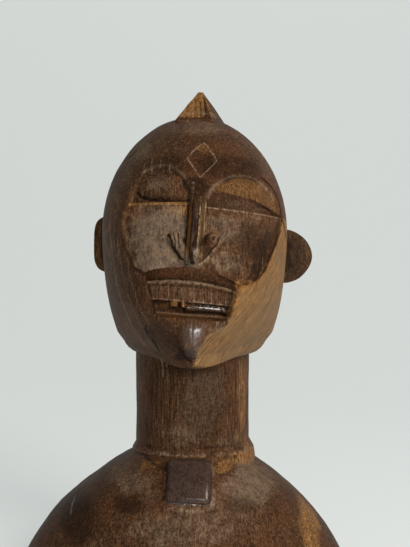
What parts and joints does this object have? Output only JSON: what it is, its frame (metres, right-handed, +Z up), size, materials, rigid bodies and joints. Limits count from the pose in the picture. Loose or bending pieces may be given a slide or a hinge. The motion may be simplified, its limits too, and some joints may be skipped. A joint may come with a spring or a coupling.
{
  "type": "carved wooden female figure bust",
  "caption": "Carved wooden female bust: crested head with half-moon eyes, arrow nose and bared teeth, on a tall round neck with collar and square pendant.",
  "frame": {"origin": "on the flat underside, straight below the axis of the neck", "axes": "+Z up, -Y the way the face looks, +X to the right of someone who faces the carving"},
  "size_m": [0.2438, 0.1697, 0.3515],
  "materials": {
    "wood": "dark patina, worn lighter on edges, satin"
  },
  "bodies": {
    "root": {"figure_bust": "wood"}
  },
  "joints": []
}
